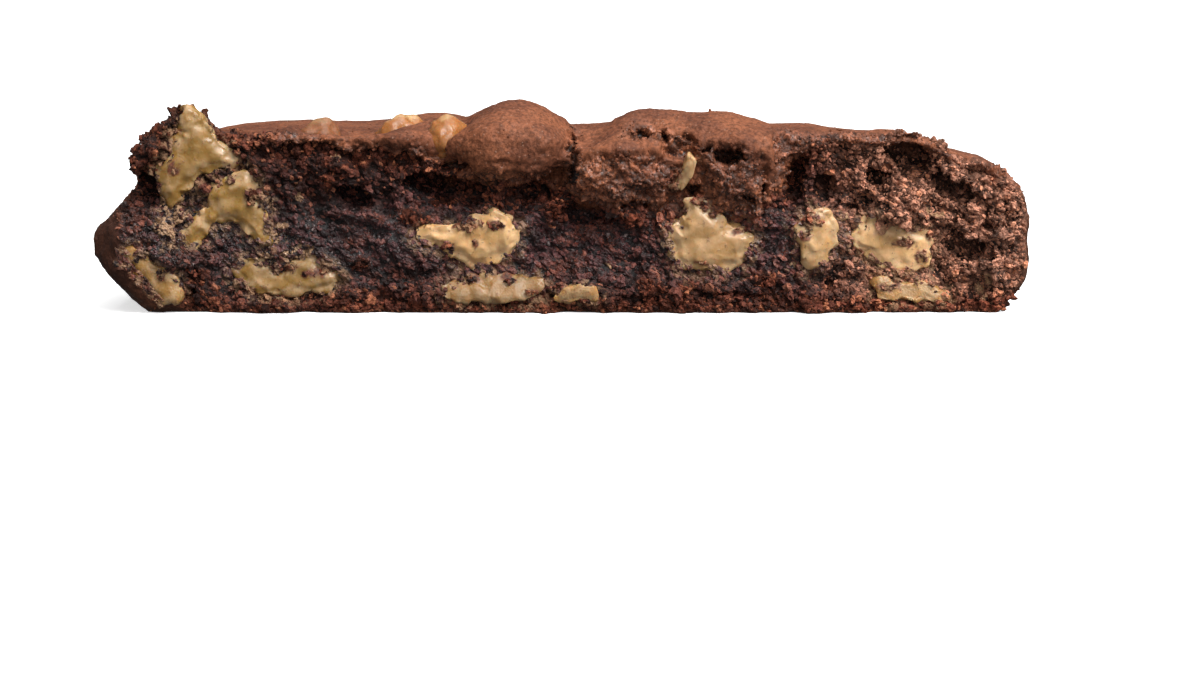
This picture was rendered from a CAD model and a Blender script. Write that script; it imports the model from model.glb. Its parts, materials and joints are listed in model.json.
import itertools
import json
import math
import time

import bmesh
import bpy
import numpy as np
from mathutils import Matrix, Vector
from mathutils.kdtree import KDTree

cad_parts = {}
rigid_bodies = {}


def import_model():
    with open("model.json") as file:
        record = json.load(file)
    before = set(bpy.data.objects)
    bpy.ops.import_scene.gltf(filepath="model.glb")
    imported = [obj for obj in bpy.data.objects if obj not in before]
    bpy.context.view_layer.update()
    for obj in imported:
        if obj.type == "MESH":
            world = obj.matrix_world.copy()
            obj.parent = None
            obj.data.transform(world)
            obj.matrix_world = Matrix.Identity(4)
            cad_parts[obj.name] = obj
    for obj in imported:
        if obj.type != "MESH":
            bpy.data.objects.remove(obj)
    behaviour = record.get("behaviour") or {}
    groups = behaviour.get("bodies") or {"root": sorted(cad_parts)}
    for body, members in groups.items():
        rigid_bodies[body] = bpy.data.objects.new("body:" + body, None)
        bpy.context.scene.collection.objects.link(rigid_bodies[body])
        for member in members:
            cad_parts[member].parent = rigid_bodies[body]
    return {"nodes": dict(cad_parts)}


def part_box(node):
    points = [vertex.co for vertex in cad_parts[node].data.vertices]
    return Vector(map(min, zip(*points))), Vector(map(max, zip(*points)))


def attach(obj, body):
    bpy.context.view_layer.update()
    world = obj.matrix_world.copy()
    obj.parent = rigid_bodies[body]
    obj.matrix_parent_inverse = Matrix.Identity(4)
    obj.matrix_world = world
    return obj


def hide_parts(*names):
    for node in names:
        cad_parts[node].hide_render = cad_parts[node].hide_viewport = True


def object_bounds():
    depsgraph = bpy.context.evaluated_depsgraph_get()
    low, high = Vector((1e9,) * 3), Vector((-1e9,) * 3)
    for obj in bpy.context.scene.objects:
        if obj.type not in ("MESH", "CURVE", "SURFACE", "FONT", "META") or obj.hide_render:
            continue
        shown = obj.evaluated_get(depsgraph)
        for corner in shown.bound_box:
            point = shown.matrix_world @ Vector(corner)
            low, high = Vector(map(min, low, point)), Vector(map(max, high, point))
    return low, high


startTime = time.time()
for stray in list(bpy.data.objects):
    bpy.data.objects.remove(stray)

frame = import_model()
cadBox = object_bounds()
mm = 0.001
nodes = frame["nodes"]
tornChips = [node for node in sorted(nodes) if node.startswith("chip") and "crust" not in node]


def report(stage):
    print(f"{time.time() - startTime:6.1f} s  {stage}")


report(f"frame loaded, {len(nodes)} nodes")

# All sizes below are in millimetres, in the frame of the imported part:
# the broken face looks along -Y, the round rim is at +Y and the base lies on z = 0.
# One crust chip marks where the middle of the break is
markerLeft = 11.4          # the chip is this far to the left of it
markerBehind = 3.2         # and this far behind it
marker = sum((Vector(corner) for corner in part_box("chip_crust_front")), Vector()) / 2 / mm
middleX = marker.x + markerLeft
breakY = marker.y - markerBehind
bakeRadius = 47.3
farOff = 99.0              # stands for a place far from everything
report(f"break at x {middleX:.2f}, y {breakY:.2f}")


# Noise on arrays of points, the same in every run

hashPrimes = (73856093, 19349663, 83492791, 2654435761)
hashMix = 1274126177
hashMask = 0xFFFFFFFF


def scramble(cells, seed):
    mixed = seed * hashPrimes[3]
    for axis in range(3):
        mixed = mixed ^ (cells[..., axis] * hashPrimes[axis])
    mixed = ((mixed ^ (mixed >> 13)) * hashMix) & hashMask
    mixed = ((mixed ^ (mixed >> 15)) * hashMix) & hashMask
    return mixed ^ (mixed >> 16)


def randomOf(cells, seed):
    return (scramble(cells, seed) & hashMask) / hashMask


def softNoise(points, size, seed=0):
    # gradient noise from about -1 to 1
    at = points / size
    corner = np.floor(at).astype(np.int64)
    inside = at - corner
    fade = inside ** 3 * (inside * (inside * 6 - 15) + 10)
    total = np.zeros(len(points))
    for step in np.array(list(itertools.product((0, 1), repeat=3))):
        cell = corner + step
        away = inside - step
        dot = np.zeros(len(points))
        for axis in range(3):
            dot += (randomOf(cell, seed + axis) * 2 - 1) * away[:, axis]
        weight = np.prod(np.where(step == 1, fade, 1 - fade), axis=1)
        total += weight * dot
    return total * 1.6


def layeredNoise(points, size, layers=3, seed=0):
    total = np.zeros(len(points))
    share = 1.0
    for layer in range(layers):
        total += share * softNoise(points, size / 2 ** layer, seed + 17 * layer)
        share /= 2
    return total


def pebbles(points, size, seed=0):
    # rounded grains packed side by side: height from 0 in the gaps to 1 on top, and a number for each grain
    at = points / size
    corner = np.floor(at).astype(np.int64)
    nearest = np.full(len(points), 9.0)
    second = np.full(len(points), 9.0)
    who = np.zeros(len(points))
    for step in itertools.product((-1, 0, 1), repeat=3):
        cell = corner + step
        spot = np.stack([randomOf(cell, seed + axis) for axis in range(3)], axis=1)
        distance = np.linalg.norm(cell + spot - at, axis=1)
        closer = distance < nearest
        second = np.where(closer, nearest, np.minimum(second, distance))
        who = np.where(closer, randomOf(cell, seed + 7), who)
        nearest = np.where(closer, distance, nearest)
    return np.clip((second - nearest) * 1.6, 0, 1), who


def ramp(values, low, high):
    share = np.clip((values - low) / (high - low), 0, 1)
    return share * share * (3 - 2 * share)


# Meshes as arrays

def pointsOf(mesh):
    flat = np.empty(len(mesh.vertices) * 3)
    mesh.vertices.foreach_get("co", flat)
    return flat.reshape(-1, 3) / mm


def normalsOf(mesh):
    flat = np.empty(len(mesh.vertices) * 3)
    mesh.vertices.foreach_get("normal", flat)
    return flat.reshape(-1, 3)


def setPoints(mesh, points):
    mesh.vertices.foreach_set("co", (points * mm).ravel())
    mesh.update()


def setMask(mesh, name, values):
    mask = mesh.attributes.get(name) or mesh.attributes.new(name, "FLOAT", "POINT")
    mask.data.foreach_set("value", np.ascontiguousarray(values, dtype=np.float32))


def applyModifiers(obj):
    graph = bpy.context.evaluated_depsgraph_get()
    graph.update()
    old = obj.data
    obj.data = bpy.data.meshes.new_from_object(obj.evaluated_get(graph))
    obj.modifiers.clear()
    bpy.data.meshes.remove(old)


def evenFaces(obj, voxel, smoothing):
    # small even faces over the same shape, overlapping solids melted into one
    remesh = obj.modifiers.new("evenFaces", "REMESH")
    remesh.mode = "VOXEL"
    remesh.voxel_size = voxel * mm
    soften = obj.modifiers.new("soften", "SMOOTH")
    soften.iterations = smoothing
    applyModifiers(obj)


def fineCopy(node, name, voxel, smoothing):
    # the CAD solid again, with small even faces
    obj = bpy.data.objects.new(name, nodes[node].data.copy())
    bpy.context.scene.collection.objects.link(obj)
    obj.data.materials.clear()
    evenFaces(obj, voxel, smoothing)
    return obj


def meshFrom(name, points, faces):
    mesh = bpy.data.meshes.new(name)
    mesh.from_pydata((points * mm).tolist(), [], faces.tolist())
    mesh.update()
    obj = bpy.data.objects.new(name, mesh)
    bpy.context.scene.collection.objects.link(obj)
    return obj


def nearestTo(spots, points):
    # for each point, how far the nearest spot is and which one it is
    tree = KDTree(len(spots))
    for index, spot in enumerate(spots):
        tree.insert(spot, index)
    tree.balance()
    found = [tree.find(point) for point in points]
    return np.array([one[2] for one in found]), np.array([one[1] for one in found], dtype=int)


# The torn crumb and the baked crust, one skin over the whole solid

crumb = {
    "voxel": 0.43,
    "smoothing": 5,
    "baseHeight": 0.03,    # what lies lower is the flat base
    "baseKept": 0.06,      # share of the faces that it keeps
    "backKept": 0.20,      # and that the plain crust keeps, from this far behind the break
    "backFrom": 7.0,
    "crustSmoothing": 14,
    "closeGap": 0.75,      # the crumb closes in on the torn chips by this much
    "closeCrustGap": 0.30, # and the crust on its own chips
    "underChips": 0.60,    # and goes on behind their torn faces, set back by this much
    "fineReach": 2.2,      # how far behind the break the skin has the finest faces
    "rimLift": 0.25,       # share of the fill on the left rim that also goes upward
    # what is put back on the left rim, where smoothing thins it: height, how much
    "rimFill": [
        (0.3, 0.0), (1.5, 0.5), (3.5, 1.1), (6, 1.2), (8, 0.6), (10, 0.2), (13, 0.0), (15, 0.6), (17, 1.0)
    ],
    # where the crust ends on the broken face: across, height
    "crustLine": [
        (-48, 12.4), (-44, 12.8), (-43.4, 17), (-41.5, 19.5), (-37, 22), (-34, 18.5), (-27, 17.5),
        (-20, 16.5), (-15, 15.6), (-12, 15.0), (-10, 13.0), (-5, 12.3), (0, 13.2), (1.6, 10.6), (10.5, 9.8),
        (12.3, 11.0), (13.5, 9.6), (20, 10.2), (23, 13.0), (25, 17.2), (35, 16.7), (41, 15.6), (46, 14.2),
        (48, 13)
    ],
    # where the baked rim ends on the left of the broken face: height, across
    "rimLine": [
        (0, -38.3), (1.1, -38.9), (2.5, -39.9), (4.0, -41.1), (5.6, -42.9), (8.6, -44.6), (11.8, -44.5),
        (12.6, -46.4)
    ],
    "lineJitter": 0.9,
    "tornDepth": 9.5,      # how far behind the break torn crumb can show, in the hollows
    "lip": 0.55,           # how far the crust stands over the crumb below it
    # small torn holes and cracks: across, height, half width, half height, tilt in degrees, depth
    "holes": [
        (7.1, 10.4, 2.3, 0.6, 0, 3.0), (13.3, 12.3, 0.9, 0.75, 0, 2.8), (10.0, 18.0, 1.7, 0.45, 24, 2.0),
        (7.9, 18.5, 1.1, 0.35, -10, 1.4), (11.8, 9.0, 0.7, 0.5, 0, 2.0), (41.1, 13.7, 1.0, 0.6, -30, 2.5),
        (35.5, 10.4, 0.8, 0.6, 20, 2.0), (27.2, 2.8, 0.8, 0.6, 0, 1.8), (-37.5, 1.8, 0.8, 0.8, 0, 1.8),
        (-11.2, 14.5, 1.2, 0.6, 0, 1.6), (43.2, 8.6, 0.9, 0.5, 20, 2.0), (29.5, 10.8, 1.0, 0.5, -10, 1.8),
        (18.6, 11.6, 0.9, 0.5, 35, 1.6), (16.8, 16.1, 1.7, 0.6, 4, 3.0), (1.0, 15.2, 0.5, 3.4, 8, 1.6),
        (14.4, 16.6, 0.8, 0.3, -30, 1.2), (20.5, 12.6, 0.5, 0.8, 10, 1.6),
        (-33.5, 17.6, 1.2, 0.5, -18, 2.2), (-29.8, 16.8, 1.4, 0.35, -12, 1.6),
        (-41.6, 13.2, 1.9, 1.0, -8, 3.2), (18.4, 1.9, 3.2, 0.35, 0, 1.6), (-25.5, 7.2, 1.6, 0.25, 12, 1.4),
        (4.5, 9.3, 2.4, 0.5, 8, 2.0)
    ],
    # reddish clots that stand out of the moist crumb: across, height, half width, half height, how far
    "clots": [
        (-0.6, 10.4, 1.3, 2.0, 1.3), (7.2, 9.0, 1.9, 0.8, 1.0), (8.8, 2.7, 2.2, 1.1, 0.8),
        (13.0, 3.0, 1.2, 0.8, 0.6), (-14.6, 9.9, 1.6, 0.9, 0.7), (-12.0, 11.4, 1.8, 0.6, 0.7),
        (-23.5, 13.4, 1.5, 0.9, 0.6), (2.5, 2.0, 1.5, 0.6, 0.6), (20.6, 3.6, 1.8, 0.8, 0.7),
        (24.9, 1.6, 2.2, 0.8, 0.8), (-20.4, 5.2, 1.2, 0.7, 0.5), (-36.6, 3.6, 0.7, 1.1, 0.5),
        (31.6, 12.4, 1.8, 1.0, 0.7), (33.6, 9.8, 1.6, 1.2, 0.8), (38.8, 9.4, 1.5, 0.8, 0.6),
        (40.5, 4.4, 1.5, 1.0, 0.6)
    ],
    # rough, broken places in the crust: across, height, half width, half height
    "grittyPatches": [
        (6.6, 13.6, 6.2, 3.2), (18.2, 13.2, 4.4, 3.6), (23.5, 16.0, 2.5, 3.0), (12.0, 16.8, 2.2, 1.4)
    ],
    "grainSlant": 35.0,    # the strands of the crumb run down to the right, in degrees
    "clump": 1.7,          # sizes of the clumps and of the grains on them
    "coarse": 0.86,
    "fine": 0.50,
    "clumpHeight": 0.55,   # and how high they stand
    "coarseHeight": 0.50,
    "fineHeight": 0.28,
    "rough": 0.30,
    "cracks": 0.55,        # how deep the cracks are
    "clods": 0.75,         # the pale crumb's larger lumps
    "crustWaves": 0.10,
    "crustPores": 0.035,
    "sandy": 0.055,        # the fine sandy grain of the whole crust
    "sand": 0.80,          # height of the broken crust's grit where it faces forward
    "pits": 0.55,          # pits where the crust ends
    "chipReach": 2.0,      # skin this close to a chip, and this little beside it, lies under it
    "chipAside": 0.25,
    "chipCover": 0.8,      # how far crumb may stand in front of a chip's very edge
    "chipBed": 0.28,       # and how far it lies behind the chip's face further in
    "overChips": 0.75,     # how far crumb stuck on a chip stands out from there
}


def zonesOf(points):
    # what the brownie is like at each point, each from 0 to 1, and where the point lies from the break
    across, behind, height = points[:, 0] - middleX, points[:, 1] - breakY, points[:, 2]
    lineX, lineZ = np.array(crumb["crustLine"]).T
    wander = layeredNoise(points, 3.2, 4, seed=3)
    below = np.interp(across, lineX, lineZ) - height + crumb["lineJitter"] * wander
    torn = ramp(below, -0.35, 0.35)
    torn *= 1 - ramp(behind + 2.0 * wander, crumb["tornDepth"] - 3, crumb["tornDepth"] - 1)
    outward = np.hypot(across, np.maximum(behind, 0))
    torn *= 1 - ramp(outward - bakeRadius + 0.8 + 0.5 * wander, -0.5, 0.5) * ramp(behind, -0.5, 1.5)
    rimZ, rimX = np.array(crumb["rimLine"]).T
    torn *= ramp(across - np.interp(height, rimZ, rimX) + 0.5 * wander, -0.3, 0.5)
    torn *= ramp(height, 0.0, 0.12)
    middle = np.exp(-((height - 7.4) / 4.6) ** 2) * (1 - 0.85 * ramp(across, 24, 36))
    moist = np.clip(middle + 0.30 * wander, 0, 1)
    edgeRed = np.maximum(ramp(1.8 - below, -1.6, 1.4), 1 - ramp(height, 1.2, 3.6))
    dry = ramp(across, 23, 33)
    leftChunk = ramp(-across, 36.5, 39.5) * np.maximum(ramp(height, 11, 13.5), ramp(-across, 40, 43))
    edgeRed = np.maximum(edgeRed, 0.85 * leftChunk)
    ruddy = np.clip(np.maximum(edgeRed, dry) - 0.25 * moist + 0.45 * wander, 0, 1)
    gritty = ramp(below + 0.8 * wander, -2.6, -0.3) * (1 - ramp(below, 2.0, 4.0))
    for patchX, patchZ, wide, tall in crumb["grittyPatches"]:
        distance = np.hypot((across - patchX) / wide, (height - patchZ) / tall)
        gritty = np.maximum(gritty, 1 - ramp(distance + 0.30 * wander, 0.80, 1.10))
    gritty *= (1 - ramp(behind, 1.5, 4.5)) * (1 - torn)
    pale = dry * ramp(height, 1.0, 3.5)
    dark = np.maximum(ramp(-across, 2, 30), 0.7 * (1 - ramp(height, 2.0, 6.0)) * (1 - ramp(across, 22, 28)))
    dark *= 1 - ramp(behind, 3, 6)
    return {"torn": torn, "moist": moist, "ruddy": ruddy, "gritty": gritty, "pale": pale, "dark": dark,
            "below": below, "behind": behind, "across": across}


def strandSpace(points):
    # turned and squeezed so that grains come out long along the strands, less so to the right
    turn = math.radians(crumb["grainSlant"])
    share = 1 - ramp(points[:, 0] - middleX, 5, 30)
    along = points[:, 0] * math.cos(turn) - points[:, 2] * math.sin(turn)
    up = points[:, 0] * math.sin(turn) + points[:, 2] * math.cos(turn)
    return np.stack([along * (1 - 0.52 * share), points[:, 1], up], axis=1)


def relief(points, zones):
    # height of the fine surface, and the masks that paint its grains
    warp = np.stack([softNoise(points, 1.3, seed) for seed in (11, 12, 13)], axis=1)
    space = strandSpace(points) + 0.50 * warp
    coarse, coarseTone = pebbles(space, crumb["coarse"], seed=21)
    fine, fineTone = pebbles(space * np.array((1, 1, 1.15)), crumb["fine"], seed=31)
    rough = layeredNoise(points, 2.2, 3, seed=41)
    presence = ramp(softNoise(points, 2.7, 51) + 0.9 * zones["ruddy"], 0.05, 0.75)
    clumps = np.abs(softNoise(space, crumb["clump"], 45))
    crumbHeight = crumb["coarseHeight"] * (coarse - 0.75) * (0.35 + 0.65 * presence)
    crumbHeight += crumb["clumpHeight"] * (ramp(clumps, 0.0, 0.45) - 0.8)
    crumbHeight += crumb["fineHeight"] * (fine - 0.75) + crumb["rough"] * (rough - 0.35)
    crust = crumb["crustWaves"] * (layeredNoise(points, 1.9, 3, seed=61) - 0.6)
    crust += crumb["sandy"] * (softNoise(points, 0.78, 63) + 0.8 * softNoise(points, 0.52, 65))
    crust -= crumb["crustPores"] * ramp(softNoise(points, 0.55, 71), 0.25, 0.8)
    lumps = layeredNoise(points, 3.0, 2, seed=67)
    crust += crumb["sand"] * zones["gritty"] * (0.6 * coarse + 0.55 * fine + 0.7 * rough + 0.8 * lumps - 1.05)
    torn = zones["torn"]
    cracks = 1 - ramp(np.abs(softNoise(space, 2.4, 47)), 0.0, 0.13)
    cracks *= ramp(softNoise(points, 3.3, 48), -0.15, 0.30) * torn
    clods = layeredNoise(points, 2.6, 3, seed=95)
    crumbHeight += crumb["clods"] * zones["pale"] * (clods - 0.2) - crumb["cracks"] * cracks
    height = torn * crumbHeight + (1 - torn) * crust
    edge = np.exp(-((zones["below"] - 0.2) / 1.0) ** 2) * (1 - ramp(zones["behind"], 3.0, 6.0))
    pits = edge * ramp(softNoise(points, 0.95, 91), 0.05, 0.45)
    height -= crumb["pits"] * pits
    gaps = torn * (1 - ramp(coarse * (0.4 + 0.6 * fine) * (0.3 + clumps * 2), 0.02, 0.30))
    gaps = np.maximum(gaps, 0.8 * torn * zones["pale"] * ramp(-clods, 0.20, 0.65))
    gaps = np.maximum(gaps, 0.7 * zones["gritty"] * (1 - ramp(fine, 0.05, 0.35)))
    gaps = np.maximum(gaps, 0.9 * np.maximum(pits, cracks))
    tone = np.where(presence > 0.5, coarseTone, fineTone)
    return height, gaps, tone


def lipOver(zones):
    # the crust leans out over the crumb just below it
    near = np.exp(-((zones["below"] - 0.9) / 0.8) ** 2)
    onFace = 1 - ramp(zones["behind"], 2.0, 5.0)
    return -crumb["lip"] * near * onFace


def drillHoles(points, zones):
    # how deep the holes are at each point, and how near their broken edges are
    depth, edges = np.zeros(len(points)), np.zeros(len(points))
    ragged = 0.50 * softNoise(points, 1.15, 81) + 0.40 * softNoise(points, 0.55, 83)
    onFace = 1 - ramp(zones["behind"], 3.0, 6.0)
    for across, height, wide, tall, tilt, deep in crumb["holes"]:
        turn = math.radians(tilt)
        dx, dz = zones["across"] - across, points[:, 2] - height
        u = (dx * math.cos(turn) - dz * math.sin(turn)) / wide
        v = (dx * math.sin(turn) + dz * math.cos(turn)) / tall
        distance = np.hypot(u, v) + ragged
        depth = np.maximum(depth, deep * (1 - ramp(distance, 0.50, 1.05)) * onFace)
        edges = np.maximum(edges, (1 - ramp(distance, 1.0, 2.3)) * onFace)
    return depth, edges


def clotsOf(points, zones):
    # where the clots are, and how far out they bring the skin
    ragged = 0.40 * layeredNoise(points, 1.4, 3, seed=87)
    share, out = np.zeros(len(points)), np.zeros(len(points))
    for across, height, wide, tall, far in crumb["clots"]:
        distance = np.hypot((zones["across"] - across) / wide, (points[:, 2] - height) / tall) + ragged
        here = (1 - ramp(distance, 0.50, 1.0)) * (1 - ramp(zones["behind"], 4.0, 7.0))
        share = np.maximum(share, here)
        out = np.maximum(out, far * here)
    return share, out


def hollowsOf(points):
    # how far each point lies behind the foremost crumb within a few millimetres
    cell = 1.5
    column, row = ((points[:, (0, 2)] - points[:, (0, 2)].min(axis=0)) / cell).astype(int).T + 2
    foremost = np.full((column.max() + 3, row.max() + 3), farOff)
    np.minimum.at(foremost, (column, row), points[:, 1])
    steps = list(itertools.product((-1, 0, 1), repeat=2))
    spread = np.min([np.roll(foremost, step, axis=(0, 1)) for step in steps], axis=0)
    even = np.mean([np.roll(spread, step, axis=(0, 1)) for step in steps], axis=0)
    return points[:, 1] - even[column, row]


def thinOut(body, chosen, kept):
    # plain places need few faces
    group = body.vertex_groups.new(name="plain")
    group.add(np.nonzero(chosen)[0].tolist(), 1.0, "REPLACE")
    thin = body.modifiers.new("thinOut", "DECIMATE")
    thin.ratio = 1 - chosen.mean() * (1 - kept)
    thin.vertex_group = "plain"
    applyModifiers(body)
    body.vertex_groups.clear()


def smoothCrust(body):
    # the baked crust has none of the steps that the even faces leave
    group = body.vertex_groups.new(name="crust")
    points = pointsOf(body.data)
    share = (1 - zonesOf(points)["torn"]) * ramp(points[:, 2], 0.1, 1.0)
    for index in np.nonzero(share > 0.02)[0].tolist():
        group.add([index], float(share[index]), "REPLACE")
    soften = body.modifiers.new("smoothCrust", "SMOOTH")
    soften.iterations = crumb["crustSmoothing"]
    soften.vertex_group = "crust"
    applyModifiers(body)
    body.vertex_groups.clear()


def refineFront(body):
    # four faces for one wherever the crumb is torn, and beside it
    points = pointsOf(body.data)
    zones = zonesOf(points)
    fine = (zones["torn"] > 0.05) | ((zones["behind"] < crumb["fineReach"]) & (points[:, 2] > 0.2))
    bm = bmesh.new()
    bm.from_mesh(body.data)
    chosen = [one for one in bm.faces if any(fine[vertex.index] for vertex in one.verts)]
    edges = list(dict.fromkeys(edge for one in chosen for edge in one.edges))
    bmesh.ops.subdivide_edges(bm, edges=edges, cuts=1, use_grid_fill=True)
    bm.to_mesh(body.data)
    bm.free()


def solidWithChips(name):
    # the crumb with each chip grown over the gap round it, as one solid
    bm = bmesh.new()
    bm.from_mesh(nodes["brownie_crumb"].data)
    for node in sorted(nodes):
        if not node.startswith("chip"):
            continue
        torn = node in tornChips
        outward = Vector((0, -1, 0) if torn else (0, -0.5, 0.87))
        gap = crumb["closeGap"] if torn else crumb["closeCrustGap"]
        grown = bmesh.new()
        grown.from_mesh(nodes[node].data)
        bmesh.ops.remove_doubles(grown, verts=grown.verts, dist=0.01 * mm)
        grown.normal_update()
        for vertex in grown.verts:
            facing = max(0.0, vertex.normal.dot(outward))
            vertex.co += vertex.normal * (1 - facing) * gap * mm
            vertex.co -= outward * facing * crumb["underChips"] * mm
        mesh = bpy.data.meshes.new(node)
        grown.to_mesh(mesh)
        grown.free()
        bm.from_mesh(mesh)
        bpy.data.meshes.remove(mesh)
    mesh = bpy.data.meshes.new(name)
    bm.to_mesh(mesh)
    bm.free()
    obj = bpy.data.objects.new(name, mesh)
    bpy.context.scene.collection.objects.link(obj)
    evenFaces(obj, crumb["voxel"], crumb["smoothing"])
    return obj


def underChips(points, zones, chipSpots, chipRims):
    # how close the skin is to a chip, where that chip's face is, which points lie under a chip
    # and how far inside its outline they are
    front = zones["behind"] < crumb["tornDepth"]
    flat = np.array((1, 0, 1))
    near, chipFace, aside = (np.full(len(points), value) for value in (farOff, -farOff, farOff))
    near[front], which = nearestTo(chipSpots, points[front])
    chipFace[front] = chipSpots[which, 1]
    aside[front] = np.linalg.norm((points[front] - chipSpots[which]) * flat, axis=1)
    covered = front & (near < crumb["chipReach"]) & (aside < crumb["chipAside"])
    inside = np.zeros(len(points))
    inside[covered] = nearestTo(chipRims * flat, points[covered] * flat)[0]
    return near, chipFace, covered, inside


def fillRim(moved, points, normals, zones):
    # puts back what smoothing took off the left rim
    fillZ, fill = np.array(crumb["rimFill"]).T
    left = ramp(-zones["across"], 35, 39) * np.interp(points[:, 2], fillZ, fill)
    moved[:, 0] += left * np.minimum(normals[:, 0], 0)
    moved[:, 2] += crumb["rimLift"] * left * ramp(points[:, 2], 16, 18) * np.maximum(normals[:, 2], 0)


def fitToChips(moved, chipFace, covered, bed, stain, height):
    # crumb lies behind a chip's face, may stand in front of its edge, and sticks to it in places
    reach = crumb["chipCover"] + crumb["chipBed"]
    clear = chipFace + crumb["chipBed"] - reach * (1 - ramp(bed, 0.0, 0.6))
    moved[:, 1] = np.where(covered & (bed > 0), np.maximum(moved[:, 1], clear), moved[:, 1])
    over = chipFace + crumb["chipBed"] - crumb["overChips"] * stain - 0.6 * height
    moved[:, 1] = np.where(stain > 0.3, np.minimum(moved[:, 1], over), moved[:, 1])


def shadeSkin(mesh):
    # smooth all over, but the base is flat up to its edge
    facingDown, baseTop = -0.98, 0.05
    flat = np.empty((2, len(mesh.polygons) * 3))
    mesh.polygons.foreach_get("normal", flat[0])
    mesh.polygons.foreach_get("center", flat[1])
    facing, height = flat[0, 2::3], flat[1, 2::3] / mm
    mesh.polygons.foreach_set("use_smooth", (facing > facingDown) | (height > baseTop))
    mesh.update()


def makeBody(chipSpots, chipRims):
    body = solidWithChips("torn_brownie")
    smoothCrust(body)
    thinOut(body, pointsOf(body.data)[:, 2] < crumb["baseHeight"], crumb["baseKept"])
    points = pointsOf(body.data)
    back = (points[:, 1] > breakY + crumb["backFrom"]) & (points[:, 2] > crumb["baseHeight"])
    thinOut(body, back, crumb["backKept"])
    refineFront(body)
    body.data.calc_loop_triangles()
    report(f"body skin has {len(body.data.loop_triangles)} triangles")

    points, normals = pointsOf(body.data), normalsOf(body.data)
    zones = zonesOf(points)
    holes, holeEdges = drillHoles(points, zones)
    zones["gritty"] = np.maximum(zones["gritty"], 0.9 * holeEdges * (1 - zones["torn"]))
    clots, clotsOut = clotsOf(points, zones)
    zones["moist"] = zones["moist"] * (1 - clots)
    for name in ("torn", "ruddy"):
        zones[name] = np.maximum(zones[name], clots)
    height, gaps, tone = relief(points, zones)
    gaps = np.maximum(gaps, ramp(holes, 0.4, 1.4))
    hollow = hollowsOf(points) + 0.4 * softNoise(points, 1.1, 89)
    gaps = np.maximum(gaps, ramp(hollow, 1.3, 3.4) * zones["torn"])
    height += lipOver(zones)

    near, chipFace, covered, inside = underChips(points, zones, chipSpots, chipRims)
    stain = spotsOn(points, chips["stains"]) * covered
    bed = ramp(inside, 0.0, 0.28) * (1 - stain) * covered
    zones["torn"] = np.maximum(zones["torn"], 1 - ramp(near, 0.5, 0.9))
    zones["moist"] = zones["moist"] * (1 - stain)
    zones["ruddy"] = np.maximum(zones["ruddy"], stain)

    onBase = 1 - ramp(points[:, 2], 0.01, 0.08)
    moved = points + normals * (height * (1 - onBase))[:, None]
    fillRim(moved, points, normals, zones)
    moved[:, 1] += holes * (1 - bed) - clotsOut * (1 - covered)
    fitToChips(moved, chipFace, covered, bed, stain, height)
    moved = inBox(moved)
    moved[:, 2] = np.where(onBase > 0.5, points[:, 2], moved[:, 2])
    setPoints(body.data, moved)
    shadeSkin(body.data)
    outward = np.hypot(zones["across"], np.maximum(zones["behind"], 0))
    side = ramp(outward - bakeRadius, -8.0, -3.5) * ramp(13.5 - moved[:, 2], 0.0, 4.5)
    base = np.maximum(1 - ramp(moved[:, 2], 0.1, 1.6), 0.9 * side)
    smear = chips["smearShare"] * spotsOn(points, chips["smears"])
    smear = np.maximum(1 - ramp(near, 0.3, chips["smearReach"]), smear)
    masks = {name: zones[name] for name in ("moist", "ruddy", "pale", "dark", "gritty")}
    masks.update({"crust": 1 - zones["torn"], "gaps": gaps, "tone": tone, "bed": bed, "base": base,
                  "smear": smear * zones["torn"]})
    for name, values in masks.items():
        setMask(body.data, name, values)
    return body


def inBox(points, margin=0.02):
    low, high = (np.array(corner) / mm for corner in cadBox)
    return np.clip(points, low + (margin, margin, 0), high - margin)


# Peanut butter chips

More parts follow.
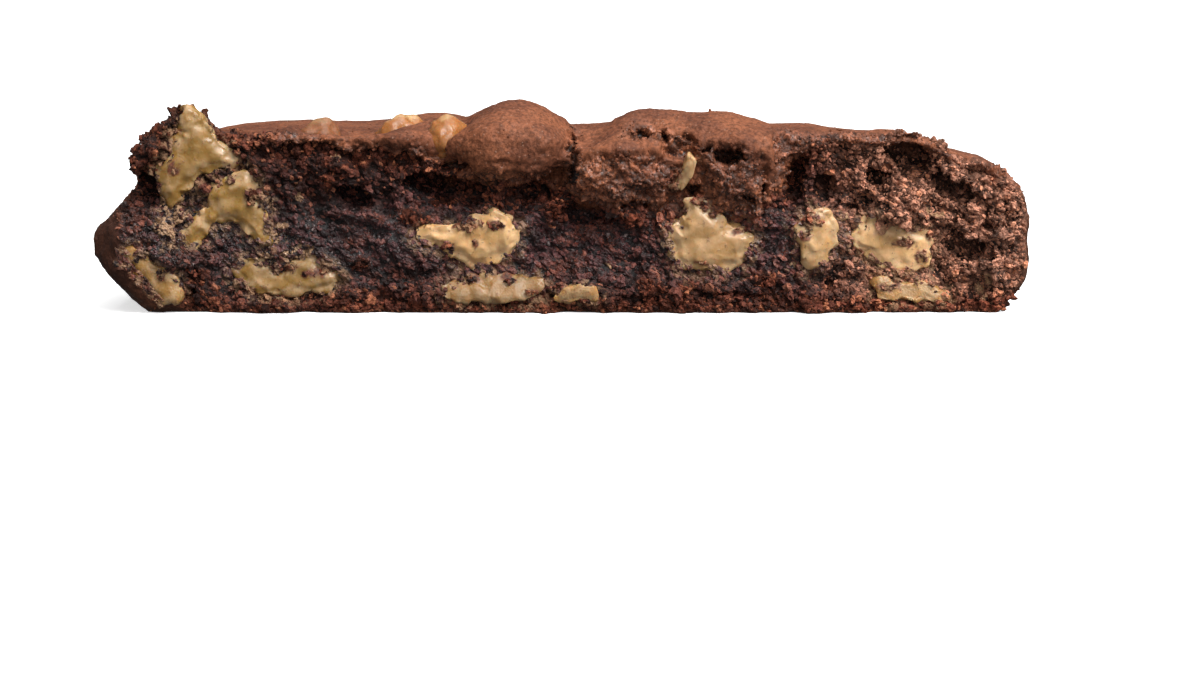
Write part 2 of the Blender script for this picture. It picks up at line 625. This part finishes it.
chips = {
    "voxel": 0.22,
    "smoothing": 3,
    "grow": 0.28,          # fills the gap that the CAD leaves round each chip
    "growFront": 0.05,
    "flush": 0.30,         # how far the torn front is cut back behind the CAD's
    "rimSink": 0.34,       # the front dips this much towards its edge, under the crumb
    "rimWidth": 0.8,
    "proud": {"chip_sliver": 0.9},     # stands further out than the rest
    "slim": {"chip_sliver": 0.62},     # narrower than the CAD's
    # how much lighter or darker than the paint
    "brightness": {"chip_middle_left": 1.38, "chip_middle_low": 0.60, "chip_left_low": 0.84,
                   "chip_left_arch": 1.05, "chip_left_edge": 0.95, "chip_right_big": 1.50,
                   "chip_right_middle": 1.10, "chip_right_low": 0.84, "chip_bottom": 0.85},
    "dents": 0.30,
    "dentSize": 2.8,
    "folds": 0.20,         # sharp little ridges
    "foldSize": 1.7,
    "ragged": 0.50,
    "raggedSize": 0.95,
    "smearReach": 1.9,     # how far butter is smeared into the crumb around, and how thickly elsewhere
    "smearShare": 1.8,
    # butter smeared thinly into the crumb: across, height, half width, half height
    "smears": [
        (-39.2, 9.8, 1.7, 2.7), (-28.5, 8.0, 0.8, 1.3), (-26.4, 5.9, 2.1, 0.8), (-22.7, 15.7, 0.5, 0.5),
        (-26.6, 12.1, 0.4, 0.8), (28.9, 9.9, 1.6, 0.7), (42.8, 2.4, 0.8, 1.4), (38.0, 10.1, 0.6, 0.5),
        (22.7, 18.2, 0.5, 0.4), (20.9, 16.1, 0.6, 0.4), (24.9, 11.2, 0.3, 0.5), (-36.6, 15.4, 1.6, 1.2),
        (4.7, 5.0, 0.3, 0.3), (-30.2, 5.4, 1.0, 0.8), (23.6, 4.6, 1.0, 0.5)
    ],
    # crumb stuck on them: across, height, half width, half height
    "stains": [
        (-9.5, 8.9, 1.5, 0.6), (-11.4, 6.8, 0.9, 0.35), (-8.7, 7.1, 0.3, 0.6), (-6.6, 9.0, 0.9, 0.5),
        (18.0, 8.3, 1.1, 0.3), (25.0, 9.5, 1.4, 0.9), (24.6, 8.0, 0.6, 0.6), (34.8, 7.0, 1.2, 0.6),
        (36.4, 5.8, 0.8, 0.7), (30.6, 6.2, 0.6, 0.3), (-38.9, 14.7, 0.6, 0.9), (-38.9, 19.4, 1.0, 1.8),
        (-31.3, 11.7, 0.5, 0.9), (-27.6, 4.4, 1.2, 0.5), (-24.9, 4.0, 1.5, 0.5), (33.2, 2.6, 1.2, 0.4),
        (-40.2, 3.9, 0.5, 0.6), (14.2, 5.2, 0.8, 0.25), (11.3, 14.4, 0.8, 1.7), (-5.0, 3.5, 1.1, 0.35),
        (-8.8, 3.3, 0.9, 0.3), (-3.0, 2.3, 0.6, 0.3), (32.6, 8.9, 0.9, 0.5), (31.0, 4.9, 0.9, 0.35),
        (37.2, 8.0, 0.4, 0.8)
    ],
    "toasted": {"chip_bottom": 1.0, "chip_right_low": 1.0, "chip_left_edge": 0.45, "chip_middle_low": 0.7},
    "bakedIn": {"chip_crust_left": 0.6},         # how far crust has baked over it
    "buttery": ["chip_left_high", "chip_left_arch", "chip_left_low", "chip_left_edge"],
}


def spotsOn(points, spots):
    # ragged spots on the broken face, from 0 to 1
    ragged = 0.65 * layeredNoise(points, 0.65, 3, seed=209)
    share = np.zeros(len(points))
    for across, height, wide, tall in spots:
        distance = np.hypot((points[:, 0] - middleX - across) / wide, (points[:, 2] - height) / tall)
        share = np.maximum(share, 1 - ramp(distance + ragged, 0.55, 1.1))
    return share * (points[:, 1] < breakY + crumb["tornDepth"])


def frontPlane(points, front, at):
    # the plane through the chip's torn front, read at other points
    torn = front > 0.9
    terms = np.stack([np.ones(torn.sum()), points[torn, 0], points[torn, 2]], axis=1)
    plane = np.linalg.lstsq(terms, points[torn, 1], rcond=None)[0]
    return plane[0] + plane[1] * at[:, 0] + plane[2] * at[:, 2]


def makeChip(node):
    chip = fineCopy(node, node.replace("chip", "melted"), chips["voxel"], chips["smoothing"])
    points, normals = pointsOf(chip.data), normalsOf(chip.data)
    seed = 100 + 10 * sorted(nodes).index(node)
    onCrust = node not in tornChips
    facing = normals[:, 2] if onCrust else -normals[:, 1]
    front = ramp(facing, 0.2, 0.8)
    side = (facing > -0.2) & (facing < 0.45)
    flat = np.array((1, 1, 0)) if onCrust else np.array((1, 0, 1))
    fromRim = nearestTo(points[side] * flat, points * flat)[0]
    widest = fromRim[front > 0.5].max()
    warp = np.stack([softNoise(points, chips["raggedSize"], seed + k) for k in range(3)], axis=1)
    dents = layeredNoise(points, chips["dentSize"], 2, seed=seed + 5)
    folds = 0.3 - np.abs(softNoise(points + 0.4 * warp, chips["foldSize"], seed + 8))
    grow = chips["grow"] * (1 - front) + chips["growFront"] * front
    moved = points + normals * grow[:, None]
    moved += chips["ragged"] * warp * (1 - 0.6 * front)[:, None] * (0.6 if onCrust else 1)
    if not onCrust:
        moved[:, 1] = np.maximum(moved[:, 1], frontPlane(points, front, moved) + chips["flush"])
        rim = 1 - ramp(fromRim, 0.0, min(chips["rimWidth"], 0.4 * widest))
        moved[:, 1] += chips["rimSink"] * min(1.0, widest / 2.2) * rim - chips["proud"].get(node, 0.0)
    moved += normals * ((chips["dents"] * dents + chips["folds"] * folds) * front)[:, None]
    if node in chips["slim"]:
        axis = np.polyval(np.polyfit(moved[:, 2], moved[:, 0], 1), moved[:, 2])
        moved[:, 0] = axis + (moved[:, 0] - axis) * chips["slim"][node]
    moved[:, 2] = np.maximum(moved[:, 2], 0.12)
    setPoints(chip.data, inBox(moved))
    chip.data.shade_smooth()

    everywhere = np.ones(len(points))
    stain = chips["bakedIn"].get(node, 0.0) * everywhere if onCrust else spotsOn(points, chips["stains"])
    masks = {"stain": stain,
             "edge": 1 - ramp(fromRim, 0.2, 1.5),
             "baked": onCrust * (1 - ramp(fromRim / widest + 0.25 * dents, 0.25, 0.75)),
             "toast": chips["toasted"].get(node, 0.4 * onCrust) * everywhere,
             "bright": chips["brightness"].get(node, 1.0) * everywhere,
             "butter": (node in chips["buttery"]) * everywhere}
    for name, values in masks.items():
        setMask(chip.data, name, values)
    return chip, moved[front > 0.5], points[side]


# Crumbs, half sunk in the torn face

grains = {
    "crumb_grains": {"count": 8600, "smallest": 0.11, "largest": 0.32, "detail": 1, "seed": 5,
                     "long": 1.0, "loose": 1.0, "pale": -0.4, "sand": 1.0, "glints": 0.0},
    "crumb_flakes": {"count": 8600, "smallest": 0.12, "largest": 0.28, "detail": 1, "seed": 8,
                     "long": 1.8, "loose": 0.0, "pale": 0.0, "sand": 0.0, "glints": 0.0},
    "crumb_lumps": {"count": 1500, "smallest": 0.24, "largest": 0.52, "detail": 2, "seed": 6,
                    "long": 1.0, "loose": 1.0, "pale": -0.6, "sand": 0.25, "glints": 0.0},
    "crumb_dust": {"count": 24000, "smallest": 0.07, "largest": 0.20, "detail": 0, "seed": 7,
                   "long": 1.2, "loose": 0.6, "pale": 1.8, "sand": 1.8, "glints": 0.25},
}
# long: how much longer than wide, along the strands; loose: 1 for the dry crumb, 0 for the moist;
# pale and sand: how many more lie on the pale crumb and on the broken crust;
# glints: the share of them that shine

spread = {
    "anywhere": 0.003,     # a few lie on the whole crust
    "bottomEdge": 3.0,     # how many more along the bottom edge
    "notOnChips": 0.97,    # the share that is left out on the chips, in the gaps and on the left chunk
    "notInGaps": 0.6,
    "notOnChunk": 0.6,
    "crustSize": 0.5,      # how much smaller they are on the crust
}


def ballOf(detail):
    bm = bmesh.new()
    if detail:
        bmesh.ops.create_icosphere(bm, subdivisions=detail, radius=1.0)
    else:
        bmesh.ops.create_uvsphere(bm, u_segments=4, v_segments=2, radius=1.0)
    points = np.array([vertex.co[:] for vertex in bm.verts])
    faces = np.array([[vertex.index for vertex in one.verts] for one in bm.faces])
    bm.free()
    return points, faces


def scatterOn(body, count, density, seed):
    # random places on the skin, with their normals and the skin's masks there
    rng = np.random.default_rng(seed)
    mesh = body.data
    mesh.calc_loop_triangles()
    corners = np.empty(len(mesh.loop_triangles) * 3, dtype=np.int32)
    mesh.loop_triangles.foreach_get("vertices", corners)
    corners = corners.reshape(-1, 3)
    points, normals = pointsOf(mesh), normalsOf(mesh)
    a, b, c = (points[corners[:, k]] for k in range(3))
    area = np.linalg.norm(np.cross(b - a, c - a), axis=1) / 2
    weight = area * density[corners].mean(axis=1)
    chosen = rng.choice(len(corners), count, p=weight / weight.sum())
    share = rng.dirichlet((1, 1, 1), count)
    where = np.einsum("nk,nkd->nd", share, points[corners[chosen]])
    facing = normals[corners[chosen]].mean(axis=1)
    facing /= np.linalg.norm(facing, axis=1)[:, None]
    return where, facing, corners[chosen][:, 0], rng


def turnsOf(rng, count):
    # random rotations, from unit quaternions
    q = rng.normal(size=(count, 4))
    w, x, y, z = (q / np.linalg.norm(q, axis=1)[:, None]).T
    rows = [1 - 2 * (y * y + z * z), 2 * (x * y - z * w), 2 * (x * z + y * w),
            2 * (x * y + z * w), 1 - 2 * (x * x + z * z), 2 * (y * z - x * w),
            2 * (x * z - y * w), 2 * (y * z + x * w), 1 - 2 * (x * x + y * y)]
    return np.stack(rows, axis=1).reshape(-1, 3, 3)


def makeGrains(name, body):
    sizes = grains[name]
    count = sizes["count"]
    keys = ("crust", "moist", "ruddy", "pale", "dark", "gritty", "gaps", "bed", "smear")
    masks = {key: maskOf(body.data, key) for key in keys}
    torn = 1 - masks["crust"]
    dry = 0.35 + 0.9 * masks["ruddy"]
    wet = 0.9 * masks["moist"] + 0.25
    density = torn * (sizes["loose"] * dry + (1 - sizes["loose"]) * wet) * (1 + sizes["pale"] * masks["pale"])
    density += sizes["sand"] * masks["gritty"] + spread["anywhere"]
    at = pointsOf(body.data)
    density += spread["bottomEdge"] * torn * (1 - ramp(at[:, 2], 0.5, 1.1))
    density *= (1 - spread["notOnChips"] * masks["bed"]) * (1 - spread["notInGaps"] * masks["gaps"])
    density *= 1 - spread["notOnChunk"] * ramp(middleX - at[:, 0], 37, 39) * ramp(at[:, 2], 12, 14)
    where, facing, nearest, rng = scatterOn(body, count, density, sizes["seed"])
    size = sizes["smallest"] + (sizes["largest"] - sizes["smallest"]) * rng.random(count) ** 2.4
    size *= 1 - spread["crustSize"] * masks["crust"][nearest]
    ball, faces = ballOf(sizes["detail"])
    lumpy = 1 + 0.34 * rng.standard_normal((count, len(ball))).clip(-1.6, 1.6)
    shape = ball[None] * lumpy[:, :, None] * (0.65 + 0.7 * rng.random((count, 1, 3)))
    shape = np.einsum("nij,nkj->nki", turnsOf(rng, count), shape)
    slant = math.radians(crumb["grainSlant"])
    strand = np.array((math.cos(slant), 0, -math.sin(slant)))
    strand = strand - facing * (facing @ strand)[:, None]
    along = np.einsum("nij,nj->ni", shape, strand)
    shape += along[:, :, None] * strand[:, None, :] * (sizes["long"] - 1)
    shape *= size[:, None, None]
    centre = where + facing * (size * rng.uniform(-0.35, 0.35, count))[:, None]
    points = shape + centre[:, None]
    low, high = (np.array(corner) / mm for corner in cadBox)
    kept = np.nonzero(((points >= low) & (points <= high)).all(axis=(1, 2)) & (centre[:, 2] > 0.12))[0]
    allFaces = (faces[None] + (np.arange(len(kept)) * len(ball))[:, None, None]).reshape(-1, 3)
    obj = meshFrom(name, points[kept].reshape(-1, 3), allFaces)
    for key, values in masks.items():
        setMask(obj.data, key, np.repeat(values[nearest[kept]], len(ball)))
    setMask(obj.data, "tone", np.repeat(rng.random(len(kept)), len(ball)))
    setMask(obj.data, "glint", np.repeat(rng.random(len(kept)) < sizes["glints"], len(ball)))
    for key in ("gaps", "base"):
        setMask(obj.data, key, np.zeros(len(kept) * len(ball)))
    return obj


def maskOf(mesh, name):
    values = np.empty(len(mesh.vertices), dtype=np.float32)
    mesh.attributes[name].data.foreach_get("value", values)
    return values.astype(float)


# Materials. Patterns are in object space, which is the part's own frame in metres

def nodeTree(name):
    material = bpy.data.materials.new(name)
    material.use_nodes = True
    tree = material.node_tree
    return material, tree, tree.nodes["Principled BSDF"]


def put(tree, socket, value):
    # a socket takes either a plain value or the output of another node
    if isinstance(value, bpy.types.NodeSocket):
        tree.links.new(value, socket)
    elif isinstance(value, tuple) and len(value) == 3 and socket.type == "RGBA":
        socket.default_value = (*value, 1.0)
    else:
        socket.default_value = value


def nodeOf(tree, kind, inputs, **settings):
    # the outputs of a new node with these settings and inputs
    node = tree.nodes.new("ShaderNode" + kind)
    for name, value in settings.items():
        setattr(node, name, value)
    for name, value in inputs.items():
        put(tree, node.inputs[name], value)
    return node.outputs


def mask(tree, name):
    return nodeOf(tree, "Attribute", {}, attribute_name=name)["Fac"]


def placeOf(tree, size):
    # inputs of a pattern whose pieces are about size millimetres
    return {"Vector": nodeOf(tree, "TexCoord", {})["Object"], "Scale": 1 / (size * mm)}


def speckle(tree, size, detail=2.0, roughness=0.5):
    inputs = {**placeOf(tree, size), "Detail": detail, "Roughness": roughness}
    return nodeOf(tree, "TexNoise", inputs)["Fac"]


def cellsOf(tree, size):
    return nodeOf(tree, "TexVoronoi", placeOf(tree, size))["Distance"]


def stretchRange(tree, value, fromLow, fromHigh, toLow=0.0, toHigh=1.0):
    inputs = {"Value": value, "From Min": fromLow, "From Max": fromHigh, "To Min": toLow, "To Max": toHigh}
    return nodeOf(tree, "MapRange", inputs, interpolation_type="SMOOTHSTEP")["Result"]


def sums(tree, operation, a, b):
    return nodeOf(tree, "Math", {0: a, 1: b}, operation=operation)["Value"]


def times(tree, a, b):
    return sums(tree, "MULTIPLY", a, b)


def blend(tree, share, a, b):
    # by number, because the node has inputs of the same names for numbers and for colours
    return nodeOf(tree, "Mix", {"Factor": share, 6: a, 7: b}, data_type="RGBA", blend_type="MIX")[2]


def blendNumber(tree, share, a, b):
    return nodeOf(tree, "Mix", {"Factor": share, "A": a, "B": b}, data_type="FLOAT")["Result"]


def shade(tree, colour, amount):
    # the colour times a number
    return nodeOf(tree, "VectorMath", {0: colour, "Scale": amount}, operation="SCALE")["Vector"]


def bumpFrom(tree, height, depth):
    inputs = {"Height": height, "Distance": depth * mm, "Strength": 1.0}
    return nodeOf(tree, "Bump", inputs)["Normal"]


brownieLook = {
    "moist": (0.052, 0.0165, 0.0165),
    "crumb": (0.068, 0.0225, 0.0165),
    "ruddy": (0.108, 0.029, 0.015),
    "pale": (0.27, 0.122, 0.077),
    "fresh": (0.26, 0.095, 0.045),     # single bright grains
    "glint": (0.26, 0.20, 0.19),       # wet ones that catch the light
    "crust": (0.185, 0.064, 0.030),
    "crustDark": (0.115, 0.039, 0.020),
    "crustSpeck": (0.40, 0.24, 0.17),
    "base": (0.034, 0.0132, 0.0085),
    "smear": (0.38, 0.220, 0.120),
    "dark": 0.64,                      # the crumb is darker low down and towards the left
    "gloss": 0.66,
    "crustGloss": 0.14,
    "grittyGloss": 0.35,
}


def brownieMaterial():
    material, tree, shader = nodeTree("brownie_crumb_and_crust")
    look = brownieLook
    tone = mask(tree, "tone")
    patches = speckle(tree, 2.2, 3.0)
    dust = speckle(tree, 0.28, 3.0, 0.6)

    colour = blend(tree, mask(tree, "moist"), look["crumb"], look["moist"])
    ruddy = sums(tree, "ADD", mask(tree, "ruddy"), stretchRange(tree, patches, 0.34, 0.66, -0.30, 0.48))
    colour = blend(tree, ruddy, colour, look["ruddy"])
    colour = blend(tree, mask(tree, "pale"), colour, look["pale"])
    driest = stretchRange(tree, mask(tree, "moist"), 0.1, 0.7, 1.0, 0.22)
    fresh = times(tree, stretchRange(tree, tone, 0.86, 0.98, 0.0, 0.6), driest)
    colour = blend(tree, fresh, colour, look["fresh"])
    colour = shade(tree, colour, stretchRange(tree, tone, 0.0, 1.0, 0.25, 2.3))
    colour = shade(tree, colour, stretchRange(tree, dust, 0.3, 0.7, 0.60, 1.50))
    colour = shade(tree, colour, stretchRange(tree, mask(tree, "dark"), 0.0, 1.0, 1.0, look["dark"]))
    moistest = stretchRange(tree, mask(tree, "moist"), 0.2, 0.8, 0.0, 0.75)
    glint = times(tree, mask(tree, "glint"), moistest)
    colour = blend(tree, glint, colour, look["glint"])
    colour = blend(tree, times(tree, mask(tree, "gaps"), 0.95), colour, shade(tree, colour, 0.15))

    smearEdge = stretchRange(tree, speckle(tree, 0.9, 4.0, 0.65), 0.46, 0.57)
    smear = times(tree, mask(tree, "smear"), smearEdge)
    colour = blend(tree, times(tree, smear, 0.7), colour, look["smear"])

    clouds = stretchRange(tree, speckle(tree, 5.0, 3.0), 0.35, 0.65)
    crust = blend(tree, clouds, look["crustDark"], look["crust"])
    crust = shade(tree, crust, stretchRange(tree, speckle(tree, 0.42, 4.0, 0.75), 0.32, 0.68, 0.52, 1.52))
    grit = stretchRange(tree, tone, 0.0, 1.0, 0.42, 2.05)
    crust = shade(tree, crust, blendNumber(tree, mask(tree, "gritty"), 1.0, grit))
    crust = blend(tree, times(tree, mask(tree, "gaps"), 0.92), crust, shade(tree, crust, 0.16))
    specks = stretchRange(tree, cellsOf(tree, 0.62), 0.10, 0.20, 0.6, 0.0)
    crust = blend(tree, times(tree, specks, patches), crust, look["crustSpeck"])
    crust = blend(tree, mask(tree, "base"), crust, look["base"])
    colour = blend(tree, mask(tree, "crust"), colour, crust)
    put(tree, shader.inputs["Base Color"], colour)

    wet = stretchRange(tree, speckle(tree, 0.5, 2.0), 0.44, 0.56, 0.60, 0.25)
    dry = stretchRange(tree, dust, 0.3, 0.7, 0.50, 0.72)
    roughness = blendNumber(tree, mask(tree, "moist"), dry, wet)
    baked = stretchRange(tree, speckle(tree, 0.5, 2.0), 0.35, 0.7, 0.50, 0.75)
    crustShine = blendNumber(tree, mask(tree, "gritty"), baked, wet)
    put(tree, shader.inputs["Roughness"], blendNumber(tree, mask(tree, "crust"), roughness, crustShine))
    gloss = blendNumber(tree, mask(tree, "moist"), look["crustGloss"], look["gloss"])
    crustGloss = blendNumber(tree, mask(tree, "gritty"), look["crustGloss"], look["grittyGloss"])
    gloss = blendNumber(tree, mask(tree, "crust"), gloss, crustGloss)
    put(tree, shader.inputs["Specular IOR Level"], gloss)

    fineBump = speckle(tree, 0.17, 3.0, 0.6)
    grainBump = cellsOf(tree, 0.30)
    bump = sums(tree, "ADD", fineBump, times(tree, grainBump, 0.7))
    crustBump = sums(tree, "ADD", speckle(tree, 0.32, 3.0, 0.55), times(tree, specks, 0.4))
    height = blendNumber(tree, mask(tree, "crust"), bump, times(tree, crustBump, 0.7))
    put(tree, shader.inputs["Normal"], bumpFrom(tree, height, 0.19))
    return material


chipLook = {
    "tan": (0.40, 0.225, 0.088),
    "cream": (0.50, 0.33, 0.18),
    "toasted": (0.50, 0.255, 0.080),
    "olive": (0.235, 0.126, 0.026),
    "baked": (0.30, 0.115, 0.032),
    "crumbStain": (0.115, 0.034, 0.014),
    "gloss": 0.42,
    "waxy": 0.20,          # share of the light that goes into the butter, and how deep
    "waxDepth": 0.6,
}


def chipMaterial():
    material, tree, shader = nodeTree("peanut_butter_chips")
    look = chipLook
    mottle = speckle(tree, 1.8, 3.0)
    colour = blend(tree, stretchRange(tree, mottle, 0.35, 0.65, 0.0, 0.25), look["tan"], look["cream"])
    colour = blend(tree, times(tree, mask(tree, "butter"), 0.9), colour, look["olive"])
    colour = blend(tree, times(tree, mask(tree, "toast"), 0.8), colour, look["toasted"])
    patches = stretchRange(tree, speckle(tree, 1.4, 3.0), 0.40, 0.60)
    paleEdge = times(tree, mask(tree, "edge"), patches)
    colour = blend(tree, times(tree, paleEdge, 0.65), colour, look["cream"])
    colour = blend(tree, mask(tree, "baked"), colour, look["baked"])
    colour = shade(tree, colour, stretchRange(tree, speckle(tree, 0.8, 4.0, 0.6), 0.25, 0.75, 0.86, 1.12))
    colour = shade(tree, colour, mask(tree, "bright"))
    freckles = stretchRange(tree, speckle(tree, 0.45, 3.0, 0.6), 0.60, 0.68)
    stain = sums(tree, "MAXIMUM", mask(tree, "stain"), times(tree, freckles, 0.45))
    stainTone = stretchRange(tree, speckle(tree, 0.35, 3.0, 0.6), 0.3, 0.7, 0.5, 1.6)
    stainColour = shade(tree, look["crumbStain"], stainTone)
    colour = blend(tree, stain, colour, stainColour)
    put(tree, shader.inputs["Base Color"], colour)
    shine = stretchRange(tree, speckle(tree, 1.2, 2.0), 0.35, 0.65, 0.20, 0.42)
    put(tree, shader.inputs["Roughness"], blendNumber(tree, stain, shine, 0.6))
    shader.inputs["Specular IOR Level"].default_value = look["gloss"]
    waxy = speckle(tree, 0.9, 2.0)
    granular = sums(tree, "MAXIMUM", stain, mask(tree, "toast"))
    rough = times(tree, speckle(tree, 0.2, 3.0, 0.6), sums(tree, "ADD", granular, 0.12))
    put(tree, shader.inputs["Normal"], bumpFrom(tree, sums(tree, "ADD", waxy, rough), 0.08))
    shader.inputs["Subsurface Weight"].default_value = look["waxy"]
    shader.inputs["Subsurface Scale"].default_value = look["waxDepth"] * mm
    return material


# Camera, framed as the photograph: 1200 x 675, the broken face seen from slightly above

camera = {
    "across": 3.9,
    "away": 200.0,         # in front of the break
    "height": 33.7,
    "aimHeight": -2.5,
    "lens": 60.0,
}


def placeCamera():
    data = bpy.data.cameras.new("camera")
    data.lens = camera["lens"]
    data.sensor_width = 36.0
    data.clip_start = 0.01
    obj = bpy.data.objects.new("camera", data)
    across = middleX + camera["across"]
    place = Vector((across, breakY - camera["away"], camera["height"])) * mm
    aim = Vector((across, breakY, camera["aimHeight"])) * mm
    obj.location = place
    obj.rotation_euler = (aim - place).to_track_quat("-Z", "Y").to_euler()
    bpy.context.scene.collection.objects.link(obj)
    bpy.context.scene.camera = obj


# Studio: a pale sweep that runs from the floor up behind the brownie, and soft lights

studio = {
    "paper": (0.96, 0.96, 0.96),
    "paperGlow": 0.60,     # lightens the shadow on the floor
    "world": (1.0, 1.0, 1.0),
    "worldStrength": 0.20,
    # name: place in metres, what it looks at, size in metres, watts
    "lights": {
        "key": ((0.26, -0.29, 0.38), (0.0, -0.02, 0.01), 0.30, 3.9),
        "sparkRight": ((0.12, -0.22, 0.45), (0.0, -0.02, 0.01), 0.035, 0.75),
        "sparkLeft": ((-0.16, -0.20, 0.45), (0.0, -0.02, 0.01), 0.035, 0.22),
        "fill": ((0.05, -0.48, 0.16), (0.0, -0.02, 0.01), 0.40, 0.70),
        "top": ((0.04, 0.08, 0.55), (0.0, -0.02, 0.01), 0.40, 1.35),
        "wall": ((0.0, 0.55, 0.9), (0.0, 1.7, 0.5), 1.4, 24.0),
    },
}


def placeStudio():
    scene = bpy.context.scene
    scene.view_settings.view_transform = "Standard"
    world = bpy.data.worlds.new("studio")
    world.use_nodes = True
    background = world.node_tree.nodes["Background"]
    background.inputs["Color"].default_value = (*studio["world"], 1.0)
    background.inputs["Strength"].default_value = studio["worldStrength"]
    scene.world = world

    # the sweep's profile is a floor, a quarter turn and a wall, in metres
    reach, bend, wide, tall, turns = 1.2, 0.5, 3.0, 2.0, 16
    profile = [(-reach * 1.6, 0.0)]
    for turn in range(turns + 1):
        angle = math.radians(90) * turn / turns
        profile.append((reach + bend * math.sin(angle), bend - bend * math.cos(angle)))
    profile.append((reach + bend, tall))
    points = np.array([(side * wide, y, z) for y, z in profile for side in (-1, 1)]) / mm
    faces = np.array([(2 * row, 2 * row + 1, 2 * row + 3, 2 * row + 2) for row in range(len(profile) - 1)])
    sweep = meshFrom("paperSweep", points, faces)
    sweep.data.shade_smooth()
    paper = bpy.data.materials.new("paper")
    paper.use_nodes = True
    shader = paper.node_tree.nodes["Principled BSDF"]
    shader.inputs["Base Color"].default_value = (*studio["paper"], 1.0)
    shader.inputs["Roughness"].default_value = 0.9
    shader.inputs["Emission Color"].default_value = (1.0, 1.0, 1.0, 1.0)
    shader.inputs["Emission Strength"].default_value = studio["paperGlow"]
    sweep.data.materials.append(paper)
    sweep.visible_glossy = False       # white paper mirrored in the moist crumb would turn it grey
    sweep.visible_diffuse = False      # and its light would wash out the gaps

    for name, (place, target, size, power) in studio["lights"].items():
        data = bpy.data.lights.new(name, "AREA")
        data.size = size
        data.energy = power
        obj = bpy.data.objects.new(name, data)
        obj.location = place
        obj.rotation_euler = (Vector(target) - obj.location).to_track_quat("-Z", "Y").to_euler()
        scene.collection.objects.link(obj)


placeCamera()
placeStudio()
report("camera and studio placed")

browniePaint = brownieMaterial()
chipPaint = chipMaterial()
melted, chipSpots, chipRims = [], [], []
for node in sorted(nodes):
    if node.startswith("chip"):
        chip, spots, rims = makeChip(node)
        melted.append(chip)
        if node in tornChips:
            chipSpots.append(spots)
            chipRims.append(rims)
report(f"{len(melted)} chips made")
body = makeBody(np.concatenate(chipSpots), np.concatenate(chipRims))
report("body relief made")
loose = [makeGrains(name, body) for name in grains]
report("crumbs scattered")

for piece in [body] + loose:
    piece.data.materials.append(browniePaint)
    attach(piece, "root")
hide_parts("brownie_crumb")
for chip in melted:
    chip.data.materials.append(chipPaint)
    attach(chip, "root")
    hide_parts(chip.name.replace("melted", "chip"))
